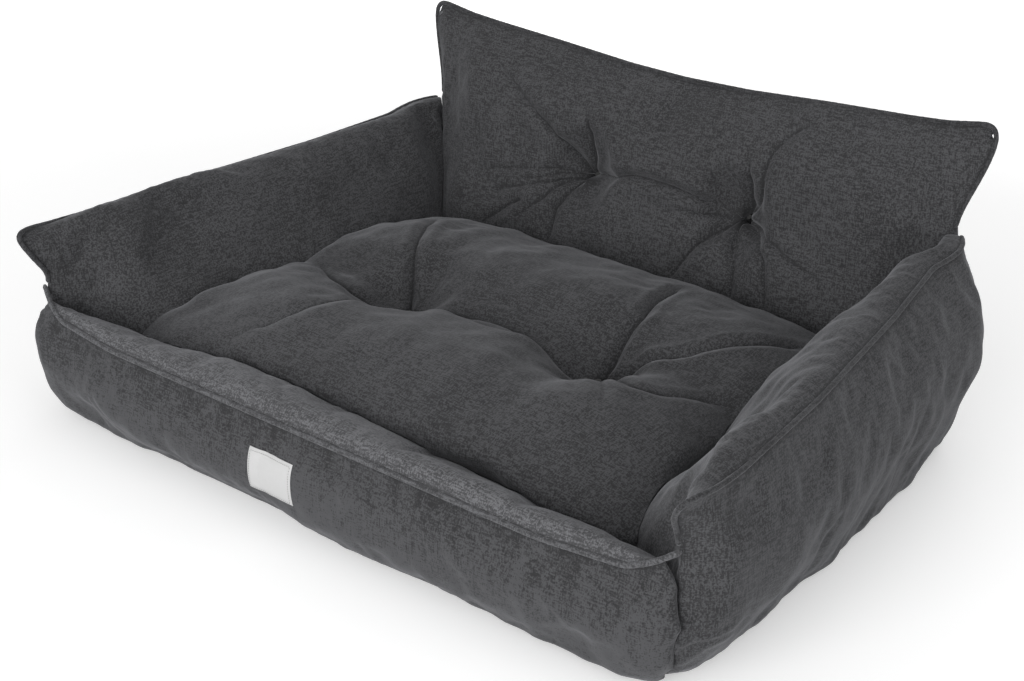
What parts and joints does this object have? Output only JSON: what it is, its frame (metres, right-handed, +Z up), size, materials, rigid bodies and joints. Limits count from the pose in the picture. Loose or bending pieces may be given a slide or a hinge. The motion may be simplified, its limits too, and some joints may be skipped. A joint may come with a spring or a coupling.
{
  "type": "dog sofa bed",
  "caption": "Sofa-shaped pet bed: stuffed walls round a well, low at the front and tufted at the back, with a piped rim and a loose tufted seat cushion.",
  "frame": {"origin": "middle of the underside, on the floor", "axes": "+X to the right as seen from the front, +Y to the back wall, +Z up; the low front wall faces -Y"},
  "size_m": [0.9446, 0.698, 0.3623],
  "materials": {
    "cover_cloth": "soft melange chenille with a short nap",
    "piping_cloth": "the cover's cloth wrapped round a cord",
    "base_cloth": "dense felted sheet",
    "fibre_filling": "loose white fibre",
    "tie_cord": "waxed upholstery twine",
    "label_cloth": "smooth satin-woven patch",
    "label_thread": "sewing thread",
    "zip_tape": "ribbed woven tape",
    "zip_coil": "satin nylon",
    "zip_metal": "dark satin enamel"
  },
  "bodies": {
    "bed": {"base_panel": "base_cloth", "front_outer_panel": "cover_cloth", "front_inner_panel": "cover_cloth", "front_filling": "fibre_filling", "front_piping": "piping_cloth", "left_outer_panel": "cover_cloth", "left_inner_panel": "cover_cloth", "left_filling": "fibre_filling", "left_piping": "piping_cloth", "right_outer_panel": "cover_cloth", "right_inner_panel": "cover_cloth", "right_filling": "fibre_filling", "right_piping": "piping_cloth", "back_outer_panel": "cover_cloth", "back_inner_panel": "cover_cloth", "back_filling": "fibre_filling", "back_piping": "piping_cloth", "back_tuft_tie_left": "tie_cord", "back_tuft_tie_right": "tie_cord", "label_patch": "label_cloth", "label_stitching": "label_thread"},
    "cushion": {"seat_top_panel": "cover_cloth", "seat_bottom_panel": "cover_cloth", "seat_filling": "fibre_filling", "seat_tuft_tie_left": "tie_cord", "seat_tuft_tie_right": "tie_cord", "seat_zip_tapes": "zip_tape", "seat_zip_coil": "zip_coil", "seat_zip_stops": "zip_metal"},
    "zip_slider": {"zip_slider": "zip_metal"},
    "zip_pull": {"zip_pull": "zip_metal"}
  },
  "joints": [
    {"name": "cushion_lift", "type": "slide", "parent": "bed", "child": "cushion", "axis": [0, 0, 1], "range_m": [0, 0.4]},
    {"name": "zip_slide", "type": "slide", "parent": "cushion", "child": "zip_slider", "axis": [-1, 0, 0], "range_m": [0, 0.324]},
    {"name": "pull_swing", "type": "hinge", "parent": "zip_slider", "child": "zip_pull", "pos_m": [0.1621, 0.2186, 0.118], "axis": [0, 0, 1], "range_deg": [0, 180]}
  ]
}
